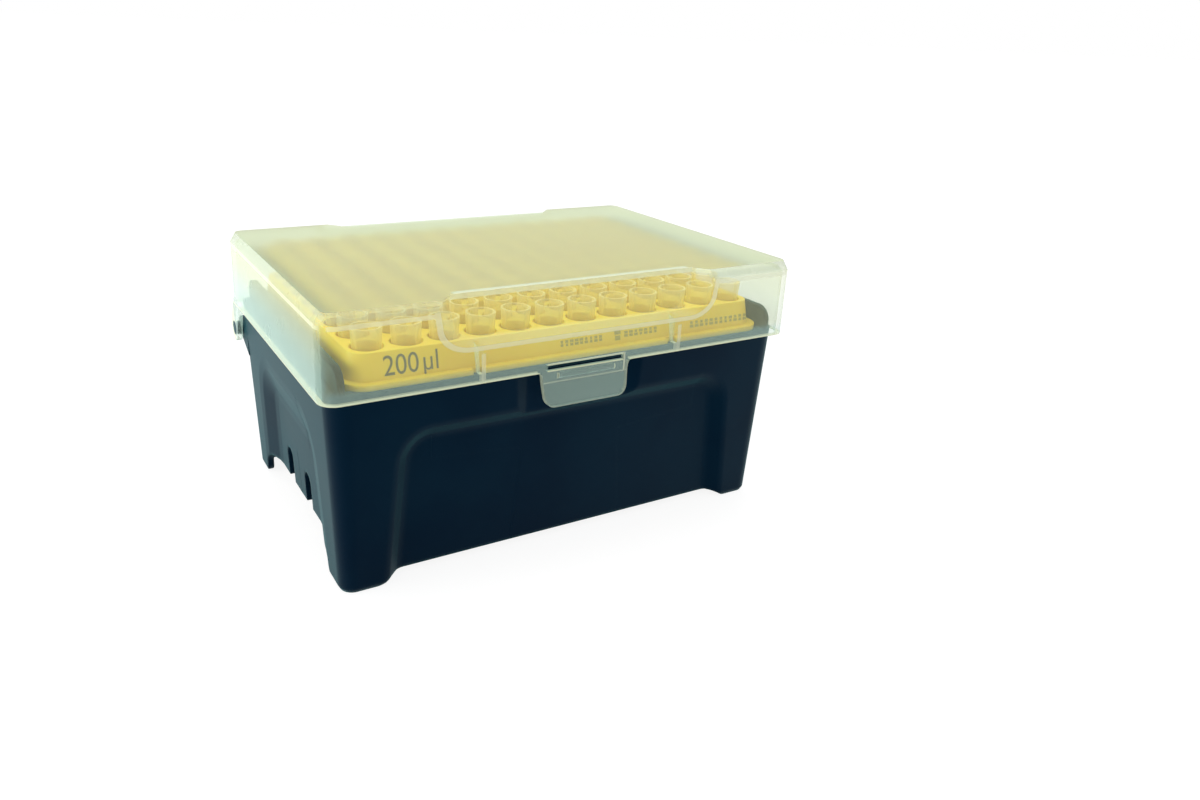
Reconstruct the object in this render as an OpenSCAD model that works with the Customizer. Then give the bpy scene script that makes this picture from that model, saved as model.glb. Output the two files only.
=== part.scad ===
// Box of pipette tips: an open-bottomed base on four corner legs, a rack insert with a 9 mm grid of tips,
// and a hinged lid with finger scoops and a latch tab.
// Millimetres, +Z up. The origin is on the floor under the middle of the whole box, +X runs along the front,
// and the latch faces -Y.

/* [Tip grid] */
// Distance between neighbouring tips
pitch = 9; // [8.6:0.1:9.6]
// Tips along the length
columns = 12; // [12:1:12]
// Tips across the width
rows = 8; // [6:1:9]

/* [Tip] */
// Length of one tip
tip_length = 56; // [50:0.5:58]
// Height of the wide collar at the top of a tip
collar_height = 15.7; // [14:0.1:18]
// Outer diameter at the mouth of the collar, over its ribs
collar_top_d = 7; // [6.6:0.1:7.2]
// Outer diameter at the foot of the collar
collar_foot_d = 5.8; // [5.6:0.1:6.2]
// Outer diameter of the body under the collar
body_d = 4.5; // [4:0.1:4.8]
// Outer diameter at the working end
tip_end_d = 0.75; // [0.6:0.05:1]
// Wall of the collar and of the body's top
tip_wall = 0.5; // [0.4:0.05:0.6]
// Diameter of the hole at the working end
orifice_d = 0.4; // [0.3:0.05:0.5]
// Height of the stepped band round the mouth
mouth_band = 6; // [4:0.5:8]
// Ribs round the lower collar
collar_ribs = 8; // [6:1:10]
// How far a collar rib stands out
collar_rib_height = 0.2; // [0.1:0.05:0.3]
// Thickness of a collar rib
collar_rib_width = 0.5; // [0.4:0.1:0.8]

/* [Rack] */
// Height from the foot flange's underside to the deck's top
rack_height = 7.3; // [6.5:0.1:9]
// Thickness of the deck, the skirt and the flange
rack_wall = 1.3; // [1:0.1:1.6]
// Gap round a collar in its hole, on the diameter
hole_clearance = 0.5; // [0.3:0.1:0.7]
// Deck left outside the outermost holes
deck_margin = 1.15; // [1:0.05:1.6]
// How far the skirt's foot stands out past the deck's edge
skirt_run = 1.4; // [1:0.1:1.8]
// Corner radius of the deck
deck_corner_r = 4; // [3:0.5:6]
// How far the flange stands out past the skirt's foot at the two ends
end_flange = 0.8; // [0.6:0.1:1.2]
// How far the flange stands out past the skirt's foot at the front and back
side_flange = 1.7; // [1.4:0.1:2.2]
// Depth of the notches in the flange for the lid's gussets
notch_depth = 1.3; // [1.2:0.1:1.4]
// How far a tip's mouth stands above the deck
tip_stand = 4.5; // [4:0.1:6]
// Wall of a socket
socket_wall = 0.5; // [0.4:0.05:0.55]
// Floor of a socket, on which the collar sits
socket_floor = 1.2; // [1:0.1:1.6]
// Width of the seat under a collar
seat_width = 0.4; // [0.3:0.05:0.5]

/* [Base] */
// Height of the rim on which the rack's flange rests
rim_height = 48.9; // [47.5:0.1:52]
// Wall of the base
base_wall = 1.6; // [1.4:0.1:2]
// Lean of the walls, in degrees
draft_angle = 1.7; // [1:0.1:2.5]
// Outer corner radius at the rim
base_corner_r = 5; // [4.5:0.5:7]
// Ledge left in front of the flange
rim_ledge = 1; // [0.8:0.1:1.6]
// Gap between the flange and the end upstands
rack_gap = 0.5; // [0.3:0.1:0.8]
// Thickness of the end upstands
upstand_wall = 1.5; // [1.2:0.1:2]
// Height of the end upstands above the rim
upstand_height = 5.6; // [4:0.1:6]
// Corner radius of the end upstands
upstand_r = 4; // [3:0.5:5]
// Shoulder outside the end upstands
shoulder = 2.6; // [2:0.1:3.2]
// How far the base's top plate reaches under the rack's flange at the front and back
shelf_reach = 2.1; // [1.5:0.1:2.4]
// Bevel round the feet
foot_bevel = 1; // [0.6:0.1:1.4]

/* [Panels] */
// Rim down to the top of the sunk panels
panel_drop = 9.5; // [9:0.1:12]
// Depth of the front and back panels
front_panel_depth = 2.8; // [2:0.1:3.2]
// Width of the front panel's sloping side
front_panel_slope = 5; // [4:0.1:5.4]
// Corner radius of the front and back panels
front_panel_r = 10; // [9.5:0.5:12]
// Depth of the end panels
end_panel_depth = 2.1; // [1.6:0.1:2.4]
// Width of the end panel's sloping side
end_panel_slope = 11.5; // [8:0.5:12]
// Corner radius of the end panels
end_panel_r = 14; // [13:0.5:16]
// Leg left beside the front panel, at its top corner
front_leg = 14; // [12:0.5:18]
// Leg left beside the end panel, at its top corner
end_leg = 13.5; // [12:0.5:16]
// Slant of the panels' sides, in degrees
panel_side_angle = 5.3; // [3:0.1:6]
// Height of the front and back walls above the floor
front_arch = 2; // [1.5:0.1:3]
// Height of the end walls above the floor
end_arch = 7.5; // [6:0.1:9]
// How much wider the opening under a panel is than the panel is at its top, each side
arch_widening = 1.3; // [1:0.1:2]
// Rounding of the legs' inner corners
leg_round = 3; // [2:0.1:3.4]
// Radius of the curve from a leg into the foot of the front and back walls
front_arch_r = 8; // [6:0.5:10]
// Radius of the curve from a leg into the foot of the end walls
end_arch_r = 5; // [4:0.5:6]

/* [End slots] */
// Distance between the middles of the two slots at the foot of an end wall
slot_pitch = 16; // [14:0.5:20]
// Width of a slot
slot_width = 5; // [3:0.1:6]
// Height of a slot above the end wall's foot
slot_height = 9; // [6:0.1:12]

/* [Latch] */
// Width of the tab at the lid's rim
tab_width = 24; // [22:0.5:26]
// How far each side of the tab draws in towards its foot
tab_taper = 0.9; // [0.4:0.1:1.2]
// How far the tab hangs below the lid's rim
tab_drop = 8.5; // [7.5:0.1:9]
// Height of the tab's upright part
tab_upright = 2.4; // [1.9:0.1:3]
// How far the tab's foot stands out past its upright part
tab_kick = 1.1; // [0.6:0.1:1.6]
// Corner radius of the tab
tab_r = 2.7; // [2:0.1:3.4]
// Radius of the fillets where the tab meets the rim
tab_fillet = 1; // [0.6:0.1:1.4]
// Room beside the tab in the base's pocket
pocket_room = 5.5; // [4.5:0.1:7]
// Depth of the pocket
pocket_depth = 1.6; // [1.2:0.1:2]
// Width of the pocket's sloping sides
pocket_slope = 3.5; // [2.5:0.1:4]
// Height of the catch ridge above the pocket
catch_height = 0.8; // [0.6:0.1:1]
// Radius of the snap bead inside the tab
bead_r = 0.9; // [0.7:0.1:1]
// Length of the snap bead
bead_length = 15.6; // [14:0.1:17]
// Gap between the bead and the catch ridge it passes
bead_gap = 0.45; // [0.4:0.05:0.6]
// Height of the window above the tab
window_height = 1.4; // [1:0.1:2]
// Strip left between the rim and the window
window_strip = 0.2; // [0.1:0.1:0.6]
// Width of the strips at the window's ends
window_side = 1.5; // [1.2:0.1:2]

/* [Lid] */
// Height of the lid, without its tab and lugs
lid_height = 19.5; // [19:0.1:22]
// Wall of the lid
lid_wall = 1.2; // [1:0.05:1.3]
// Thickness of the lid's top
lid_top = 1.4; // [1.2:0.1:1.6]
// Gap between the lid and the base's rim
lid_gap = 0.5; // [0.4:0.1:0.8]
// How far the lid hangs below the base's rim
lid_overlap = 1.2; // [0.8:0.1:2]
// Outer corner radius at the lid's rim
lid_corner_r = 4; // [3.5:0.5:6]
// How far the lid's walls lean in over their height
lid_lean = 0.35; // [0.2:0.05:0.6]
// Height of the chamfer round the top
chamfer_height = 2.3; // [1.6:0.1:2.6]
// Width of the chamfer round the top
chamfer_width = 1.35; // [1:0.05:1.6]
// Half the length of a finger scoop, along its floor's front edge
scoop_half = 35.4; // [34:0.1:37]
// Depth of a scoop behind the front wall
scoop_depth = 4.2; // [3.6:0.1:4.3]
// Height of a scoop below the lid's top
scoop_height = 10.7; // [10:0.1:11.4]
// Corner radius of a scoop
scoop_r = 6; // [5:0.5:7]
// Rise of the scoop's ledge towards its back
ledge_rise = 1; // [0.8:0.1:1.2]
// Chamfer along the top of a scoop's back wall
scoop_chamfer = 0.9; // [0.6:0.1:1]
// Lean of a scoop's ends, in degrees
scoop_end_angle = 8; // [6:0.5:10]
// How much shorter a scoop is at its back, at each end
scoop_end_run = 3.9; // [3:0.1:4.4]
// Distance of the gussets from the middle
gusset_x = 26.7; // [24:0.1:28]
// Thickness of a gusset
gusset_wall = 1.2; // [1:0.1:1.6]
// How far a gusset's foot stands in from the wall
gusset_reach = 1.7; // [1.4:0.1:1.8]
// How far a gusset's top stands in from the wall
gusset_top_reach = 3.2; // [2.6:0.1:3.3]

/* [Hinge] */
// Rim down to the hinge axis
axis_drop = 9.1; // [8.5:0.1:11]
// Hinge axis behind the base's rim
axis_back = 1.5; // [1:0.1:2]
// Diameter of the hinge pins
pin_d = 3.8; // [3:0.1:4.2]
// Running clearance of a pin, on the radius
pin_play = 0.08; // [0.05:0.01:0.1]
// Outer radius of a hinge lug
lug_r = 3.6; // [3.4:0.1:4]
// Radius of the base's hinge ears
ear_r = 3.2; // [3:0.1:3.4]
// Thickness of the base's hinge ears
ear_wall = 3.2; // [2.4:0.1:4]
// Gap between an ear and its lug
lug_gap = 0.57; // [0.5:0.01:0.8]

/* [Hidden] */
$fn = 64;
// How far a cutter runs past what it cuts
past = 2;
// Step that keeps the faces of two joined cutters out of one plane
seam = 0.02;

// Tip grid
grid_x = (columns - 1) * pitch;
grid_y = (rows - 1) * pitch;

// Rack, from the floor up
hole_d = collar_top_d + hole_clearance;
deck_half_x = grid_x / 2 + hole_d / 2 + deck_margin;
deck_half_y = grid_y / 2 + hole_d / 2 + deck_margin;
foot_half_x = deck_half_x + skirt_run;
foot_half_y = deck_half_y + skirt_run;
flange_half_x = foot_half_x + end_flange;
flange_half_y = foot_half_y + side_flange;
flange_r = deck_corner_r + skirt_run;
deck_z = rim_height + rack_height;
flange_top = rim_height + rack_wall;
seat_bore_d = collar_foot_d - 2 * seat_width;
mouth_z = deck_z + tip_stand;
seat_z = mouth_z - collar_height;
socket_d = hole_d + 2 * socket_wall;

// Base
slant = tan(draft_angle);
upstand_in = flange_half_x + rack_gap;
upstand_out = upstand_in + upstand_wall;
base_half_x = upstand_out + shoulder;
base_half_y = flange_half_y + rim_ledge;
shelf_half_y = flange_half_y - shelf_reach;
panel_top = rim_height - panel_drop;
// How a panel's side slopes: part of its width, with the part of the depth reached there
slope_steps = [[0.24, 0.12], [0.76, 0.88], [1, 1]];
body_foot_off = -rim_height * slant;
// How far a cutter for the opening under a wall reaches to either side of the wall's outer face
arch_cut = 10;

// Lid
lid_half_x = base_half_x + lid_gap + lid_wall;
lid_half_y = base_half_y + lid_gap + lid_wall;
lid_rim_z = rim_height - lid_overlap;
lid_top_z = lid_rim_z + lid_height;
chamfer_z = lid_top_z - chamfer_height;
lid_slant = atan(lid_lean / (chamfer_z - lid_rim_z));
scoop_floor_z = lid_top_z - scoop_height;
scoop_inset = lid_lean * (scoop_floor_z - lid_rim_z) / (chamfer_z - lid_rim_z);
ledge_slope = ledge_rise / scoop_depth;

// Latch
pocket_half = tab_width / 2 + pocket_room;
catch_z = rim_height - catch_height;
tab_foot_z = lid_rim_z - tab_drop;
tab_in = base_half_y + lid_gap;

// Hinge
axis_z = rim_height - axis_drop;
axis_y = base_half_y + axis_back;
ear_face = base_half_x - axis_drop * slant;
lug_in = ear_face + lug_gap;
lug_out = lid_half_x;
// Middle of the whole box from front to back, counted from the middle of the rack
middle_y = (axis_y + lug_r - tab_in - lid_wall - tab_kick) / 2;

// Sets its children, drawn round the middle of the rack, over the middle of the whole box
module in_frame() {
    translate([0, -middle_y, 0])
        children();
}

// A block with round upright corners and leaning walls. steps lists, from the bottom up, each height at which
// the lean changes and how far the walls stand out there from half_x and half_y, where the corner radius is r
module leaning_block(half_x, half_y, r, steps) {
    core_x = half_x - r;
    core_y = half_y - r;
    last = len(steps) - 1;
    rotate([90, 0, 0])
        linear_extrude(height = 2 * core_y, center = true)
            polygon([
                for (step = steps) [core_x + r + step[1], step[0]],
                for (i = [0 : last]) [-core_x - r - steps[last - i][1], steps[last - i][0]],
            ]);
    rotate([90, 0, 90])
        linear_extrude(height = 2 * core_x, center = true)
            polygon([
                for (step = steps) [core_y + r + step[1], step[0]],
                for (i = [0 : last]) [-core_y - r - steps[last - i][1], steps[last - i][0]],
            ]);
    for (sx = [-1, 1], sy = [-1, 1])
        translate([sx * core_x, sy * core_y, 0])
            rotate_extrude()
                polygon([[0, steps[0][0]], for (step = steps) [r + step[1], step[0]], [0, steps[last][0]]]);
}

// Section of a panel's side, as [distance in from the panel's edge, depth]
function panel_section(depth, slope) = concat(
    [[-past * slope_steps[0][0] / slope_steps[0][1] * slope / depth, -past]],
    [for (step = slope_steps) [step[0] * slope, step[1] * depth]]
);

// Middle of a sunk panel, for a wall that faces -Y: its top edge is at z = 0 and it is open below
module panel_middle(half_w, r, h, depth, slope) {
    rotate([90, 0, 90])
        linear_extrude(height = 2 * (half_w - r + 4 * seam), center = true)
            polygon([
                for (point = panel_section(depth, slope)) [point[1] - seam, -point[0] - seam],
                [depth - seam, -h], [-past - seam, -h],
            ]);
}

// The two sides of the same panel, with their round upper corners
module panel_sides(half_w, r, h, depth, slope, flare) {
    section = panel_section(depth, slope);
    for (side = [0, 1])
        mirror([side, 0, 0])
            translate([half_w - r, 0, -r]) {
                rotate([90, 0, 0])
                    rotate([0, 0, -flare])
                        rotate_extrude(angle = 90 + flare)
                            polygon([
                                [0, past], for (point = section) [r - point[0], -point[1]], [0, -depth],
                            ]);
                rotate([0, -flare, 0])
                    translate([0, 0, -h])
                        linear_extrude(height = h)
                            polygon([
                                [-half_w / 2, -past], for (point = section) [r - point[0], point[1]],
                                [-half_w / 2, depth],
                            ]);
            }
}

// Cuts a panel out of its first child; the second and third are the panel's middle and its sides
module cut_panel() {
    difference() {
        difference() {
            children(0);
            children(1);
        }
        children(2);
    }
}

// Holds its children where the front wall or an end wall of the base meets the height z, leaning as it does
module on_base_wall(half, z) {
    translate([0, -half + (rim_height - z) * slant, z])
        rotate([draft_angle, 0, 0])
            children();
}

// Holds its first child at the front and back panels and its second at the end panels, on the leaning walls
// or, for the wall's inner face, as far behind them as grow
module at_base_panels(grow) {
    for (turn = [0, 180])
        rotate([0, 0, turn])
            on_base_wall(base_half_y, panel_top)
                translate([0, grow, 0])
                    children(0);
    for (turn = [-90, 90])
        rotate([0, 0, turn])
            on_base_wall(base_half_x, panel_top)
                translate([0, grow, 0])
                    children(1);
}

// The middles of all four sunk panels
module base_panel_middles(grow = 0) {
    at_base_panels(grow) {
        panel_middle(base_half_x - front_leg, front_panel_r, rim_height,
                     front_panel_depth, front_panel_slope);
        panel_middle(base_half_y - end_leg, end_panel_r, rim_height,
                     end_panel_depth, end_panel_slope);
    }
}

// The sides of all four sunk panels
module base_panel_sides(grow = 0) {
    at_base_panels(grow) {
        panel_sides(base_half_x - front_leg, front_panel_r, rim_height,
                    front_panel_depth, front_panel_slope, panel_side_angle);
        panel_sides(base_half_y - end_leg, end_panel_r, rim_height,
                    end_panel_depth, end_panel_slope, panel_side_angle);
    }
}

// Pocket behind the latch tab, under the catch ridge
module latch_pocket(grow = 0) {
    foot_z = panel_top - front_panel_r / 2;
    mouth_half = pocket_half + past * pocket_slope / pocket_depth;
    floor_half = pocket_half - pocket_slope;
    translate([0, -base_half_y + grow, foot_z])
        linear_extrude(height = catch_z - foot_z)
            polygon([
                [-mouth_half, -past], [mouth_half, -past],
                [floor_half, pocket_depth], [-floor_half, pocket_depth],
            ]);
}

// The two slots at the foot of an end wall that faces -Y
module end_slots() {
    top_z = end_arch + slot_height - slot_width / 2 - panel_top;
    on_base_wall(base_half_x, panel_top)
        for (side = [-1, 1])
            translate([side * slot_pitch / 2, end_panel_depth - past, 0]) {
                translate([-slot_width / 2, 0, -rim_height])
                    cube([slot_width, 2 * past + base_wall, top_z + rim_height]);
                translate([0, 0, top_z])
                    rotate([-90, 0, 0])
                        cylinder(h = 2 * past + base_wall, d = slot_width);
            }
}

// Opening under a wall that faces -Y, h high at its middle. At each side it bends down by arch_r into the
// leg, whose foot is rounded by leg_round; half_w is half the distance between legs with upright sides.
module leg_arch(half_w, h, arch_r) {
    both_r = arch_r + leg_round;
    bend = h < both_r ? acos(1 - h / both_r) : 90;
    foot_x = half_w + leg_round;
    arch_x = foot_x - both_r * sin(bend);
    upright = h < both_r ? [] : [[half_w, h - arch_r]];
    side = [
        [foot_x, -past], [foot_x, leg_round],
        [foot_x - leg_round * sin(bend), leg_round - leg_round * cos(bend)],
        each upright, [arch_x, h],
    ];
    rotate([90, 0, 0])
        linear_extrude(height = 2 * arch_cut, center = true)
            difference() {
                union() {
                    polygon([each side, for (i = [len(side) - 1 : -1 : 0]) [-side[i][0], side[i][1]]]);
                    for (turn = [-1, 1])
                        translate([turn * arch_x, h - arch_r])
                            circle(r = arch_r);
                }
                for (turn = [-1, 1])
                    translate([turn * foot_x, leg_round])
                        circle(r = leg_round);
            }
}

// Plate with its upper corners rounded, lying along Y and standing on z = 0
module upstand() {
    straight = base_half_y - rim_ledge;
    rotate([90, 0, 90])
        linear_extrude(height = upstand_wall) {
            translate([-straight, -base_wall / 2])
                square([2 * straight, upstand_height - upstand_r + base_wall / 2]);
            translate([-straight + upstand_r, 0])
                square([2 * (straight - upstand_r), upstand_height]);
            for (side = [-1, 1])
                translate([side * (straight - upstand_r), upstand_height - upstand_r])
                    circle(r = upstand_r);
        }
}

// Hinge ear and pin at the right-hand end
module hinge_ear() {
    root = axis_back + base_corner_r;
    translate([ear_face - ear_wall, axis_y, axis_z])
        rotate([90, 0, 90]) {
            cylinder(h = ear_wall, r = ear_r);
            linear_extrude(height = ear_wall)
                polygon([[-root, ear_r], [-root, -2 * ear_r], [0, -ear_r], [0, ear_r]]);
            cylinder(h = ear_wall + lug_out - ear_face, d = pin_d);
        }
}

// Outside of the base, without its rim fittings
module base_outside() {
    leaning_block(base_half_x, base_half_y, base_corner_r, [
        [0, body_foot_off - foot_bevel / 2],
        [foot_bevel, body_foot_off + foot_bevel * slant],
        [rim_height, 0],
    ]);
}

// Hollow of the base, with the backs of the panels and of the pocket standing in it
module base_hollow() {
    difference() {
        cut_panel() {
            leaning_block(base_half_x, base_half_y, base_corner_r, [
                [-past, body_foot_off - base_wall], [rim_height - base_wall, -base_wall * (1 + slant)],
            ]);
            base_panel_middles(grow = base_wall);
            base_panel_sides(grow = base_wall);
        }
        latch_pocket(grow = base_wall);
    }
}

module base() {
    color([0.07, 0.15, 0.22])
        in_frame() {
            difference() {
                cut_panel() {
                    base_outside();
                    base_panel_middles();
                    base_panel_sides();
                }
                base_hollow();
                latch_pocket();
                translate([-upstand_in, -shelf_half_y, seat_z])
                    cube([2 * upstand_in, 2 * shelf_half_y, rim_height]);
                for (turn = [0, 180])
                    rotate([0, 0, turn])
                        translate([0, -base_half_y, 0])
                            leg_arch(base_half_x - front_leg + arch_widening, front_arch, front_arch_r);
                for (turn = [-90, 90])
                    rotate([0, 0, turn]) {
                        end_slots();
                        translate([0, -base_half_x, 0])
                            leg_arch(base_half_y - end_leg + arch_widening, end_arch, end_arch_r);
                    }
            }
            for (side = [0, 1])
                mirror([side, 0, 0]) {
                    translate([upstand_in, 0, rim_height])
                        upstand();
                    hinge_ear();
                }
        }
}

// One notch in the flange for a gusset of the lid
module flange_notch() {
    translate([-gusset_wall, -flange_half_y - past, rim_height - past])
        cube([2 * gusset_wall, past + notch_depth, rack_wall + 2 * past]);
}

module rack() {
    color([0.93, 0.77, 0.27])
        in_frame() difference() {
            union() {
                difference() {
                    union() {
                        leaning_block(foot_half_x, foot_half_y, flange_r, [
                            [rim_height, 0], [deck_z, -skirt_run],
                        ]);
                        translate([0, 0, rim_height])
                            rack_flange();
                    }
                    leaning_block(foot_half_x, foot_half_y, flange_r, [
                        [rim_height - past, -rack_wall], [deck_z - rack_wall, -rack_wall - skirt_run],
                    ]);
                }
                for (x = [0 : columns - 1], y = [0 : rows - 1])
                    translate([x * pitch - grid_x / 2, y * pitch - grid_y / 2, seat_z - socket_floor])
                        cylinder(h = deck_z - rack_wall / 2 - seat_z + socket_floor, d = socket_d);
            }
            for (x = [0 : columns - 1], y = [0 : rows - 1])
                translate([x * pitch - grid_x / 2, y * pitch - grid_y / 2, seat_z]) {
                    cylinder(h = deck_z - seat_z + past, d = hole_d);
                    translate([0, 0, -socket_floor - past])
                        cylinder(h = socket_floor + 2 * past, d = seat_bore_d);
                }
            for (turn = [0, 180], side = [-1, 1])
                rotate([0, 0, turn])
                    translate([side * gusset_x, 0, 0])
                        flange_notch();
        }
}

// The flange round the rack's foot, before its middle is opened
module rack_flange() {
    core_x = flange_half_x - flange_r;
    core_y = flange_half_y - flange_r;
    linear_extrude(height = rack_wall) {
        square([2 * core_x, 2 * flange_half_y], center = true);
        square([2 * flange_half_x, 2 * core_y], center = true);
        for (sx = [-1, 1], sy = [-1, 1])
            translate([sx * core_x, sy * core_y])
                circle(r = flange_r);
    }
}

// One tip, standing on its working end at z = 0
module tip() {
    collar_z = tip_length - collar_height;
    band_z = tip_length - mouth_band;
    body_r = body_d / 2;
    foot_r = collar_foot_d / 2;
    top_r = collar_top_d / 2;
    band_r = (foot_r + top_r) / 2;
    rotate_extrude()
        polygon([
            [orifice_d / 2, 0], [tip_end_d / 2, 0], [body_r, collar_z], [foot_r, collar_z],
            [band_r - collar_rib_height, band_z], [band_r, band_z], [top_r, tip_length],
            [top_r - tip_wall, tip_length], [body_r - tip_wall, collar_z],
        ]);
    for (rib = [0 : collar_ribs - 1])
        rotate([0, 0, rib * 360 / collar_ribs])
            rotate([90, 0, 0])
                linear_extrude(height = collar_rib_width, center = true)
                    polygon([
                        [foot_r - collar_rib_height, collar_z + seat_width], [foot_r, collar_z + seat_width],
                        [band_r, band_z], [band_r - 2 * collar_rib_height, band_z],
                    ]);
}

// The tips of one column, counted from the left
module tips_column(number) {
    color([0.93, 0.93, 0.88, 0.6])
        in_frame() for (y = [0 : rows - 1])
            translate([(number - 1) * pitch - grid_x / 2, y * pitch - grid_y / 2, mouth_z - tip_length])
                tip();
}

// Holds its children at both finger scoops, on the middle of the floor's front edge
module at_scoops() {
    for (turn = [0, 180])
        rotate([0, 0, turn])
            translate([0, -lid_half_y + scoop_inset, scoop_floor_z])
                children();
}

// The middles of both scoops. grow gives the inner face of a wall of that thickness round them.
module scoop_middles(grow = 0) {
    deep = scoop_depth + grow - seam;
    low = seam - grow;
    at_scoops()
        rotate([90, 0, 90])
            linear_extrude(height = 2 * (scoop_half - scoop_end_run - scoop_r), center = true)
                polygon([
                    [-past, low - ledge_slope * past], [deep, low + ledge_slope * deep],
                    [deep, lid_height], [-past, lid_height],
                ]);
}

// The ends of both scoops
module scoop_sides(grow = 0) {
    at_scoops()
        for (side = [0, 1])
            mirror([side, 0, 0])
                translate([-scoop_half, 0, 0])
                    scoop_end(grow);
}

// Left end of a scoop, from the corner of its floor's front edge. Its wall leans out towards the top and
// slants in towards the back, and a fillet joins it to the floor.
module scoop_end(grow) {
    run = scoop_end_run / scoop_depth;
    lean = tan(scoop_end_angle);
    floor_len = norm([1, ledge_slope]);
    corner = 180 - acos((run * ledge_slope + lean) / (norm([1, run, lean]) * floor_len));
    fillet_x = scoop_r / tan(corner / 2);
    r = scoop_r + grow;
    touch = [fillet_x - r * sin(corner), scoop_r + r * cos(corner)];
    intersection() {
        translate([-scoop_half, -past, -lid_height])
            cube([3 * scoop_half, past + scoop_depth + grow, 3 * lid_height]);
        rotate([atan(ledge_slope), 0, 0])
            rotate([90, 0, -atan2(run - lean * ledge_slope, floor_len)])
                linear_extrude(height = 4 * scoop_half, center = true) {
                    translate([fillet_x, scoop_r])
                        circle(r = r);
                    polygon([
                        [fillet_x, scoop_r], [fillet_x, -grow], [scoop_half, -grow],
                        [scoop_half, touch[1] + lid_height],
                        [touch[0] + lid_height / tan(corner), touch[1] + lid_height], touch,
                    ]);
                }
    }
}

// Cutter for the chamfer along the top of the front scoop's back wall
module scoop_edge() {
    wall_y = -lid_half_y + scoop_inset + scoop_depth;
    reach = scoop_half - scoop_end_run + (scoop_height - 2 * scoop_chamfer) * tan(scoop_end_angle);
    rotate([90, 0, 90])
        linear_extrude(height = 2 * reach, center = true)
            polygon([
                [wall_y - past, lid_top_z - scoop_chamfer - past],
                [wall_y + scoop_chamfer + past, lid_top_z + past], [wall_y - past, lid_top_z + past],
            ]);
}

// Outline of the tab as seen from the front, with the fillets where it meets the rim
module tab_outline() {
    half = tab_width / 2;
    taper = tab_taper / tab_drop;
    side_angle = atan(taper);
    top_z = lid_rim_z + window_strip;
    foot_x = half - taper * (tab_drop - tab_r) - tab_r / cos(side_angle);
    foot_touch = [foot_x + tab_r * cos(side_angle), tab_foot_z + tab_r - tab_r * sin(side_angle)];
    fillet_x = half - taper * tab_fillet + tab_fillet / cos(side_angle);
    fillet_z = lid_rim_z - tab_fillet;
    fillet_touch = [fillet_x - tab_fillet * cos(side_angle), fillet_z + tab_fillet * sin(side_angle)];
    for (side = [0, 1])
        mirror([side, 0]) {
            translate([foot_x, tab_foot_z + tab_r])
                circle(r = tab_r);
            polygon([
                [-tab_r, top_z], [-tab_r, tab_foot_z], [foot_x, tab_foot_z], [foot_x, tab_foot_z + tab_r],
                foot_touch, [half + taper * window_strip, top_z],
            ]);
            difference() {
                polygon([
                    [half - tab_fillet, top_z], [half - tab_fillet, fillet_touch[1]], fillet_touch,
                    [fillet_x, fillet_z], [fillet_x, top_z],
                ]);
                translate([fillet_x, fillet_z])
                    circle(r = tab_fillet);
            }
        }
}

// Tab that hangs in front of the pocket, with its snap bead
module latch_tab() {
    low_z = lid_rim_z - tab_upright;
    end_z = tab_foot_z - past;
    end_lean = tab_kick * (low_z - end_z) / (low_z - tab_foot_z);
    intersection() {
        rotate([90, 0, 90])
            linear_extrude(height = 2 * tab_width, center = true)
                polygon([
                    [-tab_in - lid_wall, lid_rim_z + past], [-tab_in, lid_rim_z + past],
                    [-tab_in, low_z], [-tab_in - end_lean, end_z],
                    [-tab_in - lid_wall - end_lean, end_z], [-tab_in - lid_wall, low_z],
                ]);
        translate([0, -tab_in, 0])
            rotate([90, 0, 0])
                linear_extrude(height = 6 * lid_wall, center = true)
                    tab_outline();
    }
    translate([0, -base_half_y - bead_gap - bead_r, lid_rim_z - bead_r])
        rotate([0, 90, 0])
            cylinder(h = bead_length, r = bead_r, center = true);
}

// Gusset under the front scoop's ledge, at the middle of the front
module gusset() {
    root = lid_wall / 2;
    foot_z = rim_height + lid_gap - scoop_floor_z;
    foot_y = lid_wall + gusset_reach;
    top_y = lid_wall + gusset_top_reach;
    translate([0, -lid_half_y, scoop_floor_z])
        rotate([90, 0, 90])
            linear_extrude(height = gusset_wall, center = true)
                polygon([
                    [root, foot_z], [foot_y, foot_z],
                    [top_y, ledge_slope * top_y - root], [root, ledge_slope * root - root],
                ]);
}

// Hinge lug at the right-hand end, without its bore
module hinge_lug() {
    root_z = lid_rim_z + lid_overlap;
    root_y = lid_half_y - lid_corner_r - axis_y;
    side_angle = 37;
    translate([lug_in, axis_y, axis_z])
        rotate([90, 0, 90])
            linear_extrude(height = lug_out - lug_in) {
                circle(r = lug_r);
                polygon([
                    [-lug_r, 0], [lug_r * cos(side_angle), lug_r * sin(side_angle)],
                    [root_y + lid_corner_r / 2, root_z - axis_z],
                    [root_y - lug_r, root_z - axis_z],
                ]);
            }
}

module lid_outside() {
    leaning_block(lid_half_x, lid_half_y, lid_corner_r, [
        [lid_rim_z, 0], [chamfer_z, -lid_lean], [lid_top_z, -lid_lean - chamfer_width],
    ]);
}

module lid_inside() {
    leaning_block(lid_half_x, lid_half_y, lid_corner_r, [
        [lid_rim_z - past, -lid_wall], [chamfer_z - lid_wall / 2, -lid_wall - lid_lean],
        [lid_top_z - lid_top, -lid_wall - lid_lean - chamfer_width],
    ]);
}

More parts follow.
